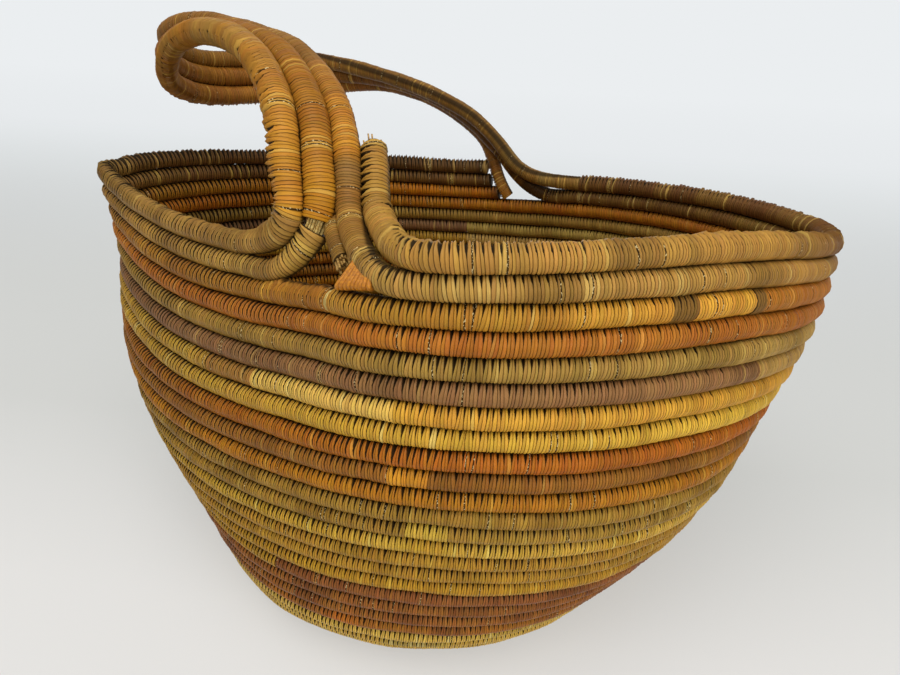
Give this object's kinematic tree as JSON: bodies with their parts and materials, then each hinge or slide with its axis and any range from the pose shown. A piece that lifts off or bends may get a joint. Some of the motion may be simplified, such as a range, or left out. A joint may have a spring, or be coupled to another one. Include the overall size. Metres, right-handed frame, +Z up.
{
  "type": "gathering basket",
  "caption": "Oval coiled basket with a flat base, flared colour-banded wall and a high swept handle of parallel coils arching over the open mouth.",
  "frame": {"origin": "centre of the bounding box on the surface the basket stands on", "axes": "+X along the basket's length to the viewer's right in the picture, -Y towards the viewer, +Z up"},
  "size_m": [0.4084, 0.3378, 0.2927],
  "materials": {
    "dark_brown": "dark brown stitched fibre",
    "tan_brown": "tan brown stitched fibre",
    "yellow_orange": "yellow-orange stitched fibre",
    "orange_red": "orange-red stitched fibre",
    "khaki": "khaki stitched fibre",
    "purple_brown": "purple-brown stitched fibre",
    "mustard": "mustard stitched fibre",
    "bright_yellow": "bright yellow stitched fibre",
    "brown": "brown stitched fibre",
    "orange": "orange stitched fibre",
    "red_brown": "red-brown stitched fibre",
    "natural": "pale natural stitched fibre",
    "bare_core": "bare fibre core"
  },
  "bodies": {
    "root": {"brownish_yellow_band": "mustard", "eighth_course_yellow": "bright_yellow", "eleventh_course_orange": "orange", "fifth_course_khaki": "khaki", "fourteenth_course_yellow": "bright_yellow", "fourth_course_orange_red": "orange_red", "front_core_tip": "bare_core", "inner_stub": "dark_brown", "khaki_band_lower": "khaki", "khaki_band_upper": "khaki", "khaki_band_yellow_length": "bright_yellow", "mustard_band": "yellow_orange", "narrow_lashing": "brown", "natural_base_coil": "natural", "ninth_course_red_orange": "orange_red", "orange_lashing": "orange_red", "red_brown_band": "red_brown", "rim_left": "dark_brown", "rim_right": "dark_brown", "rim_stub": "dark_brown", "second_course_left": "dark_brown", "second_course_right": "tan_brown", "seventh_course_bright_yellow": "bright_yellow", "seventh_course_mustard": "mustard", "seventh_course_tan": "tan_brown", "seventh_course_yellow_orange": "yellow_orange", "sixth_course_khaki_brown": "tan_brown", "sixth_course_purple_brown": "purple_brown", "strap_left": "orange", "strap_middle": "orange", "strap_right": "brown", "tenth_course_brown_left": "brown", "tenth_course_brown_right": "brown", "tenth_course_orange_length": "orange", "third_course_yellow_orange": "yellow_orange", "third_course_yellow_right": "yellow_orange", "wide_lashing": "brown"}
  },
  "joints": []
}
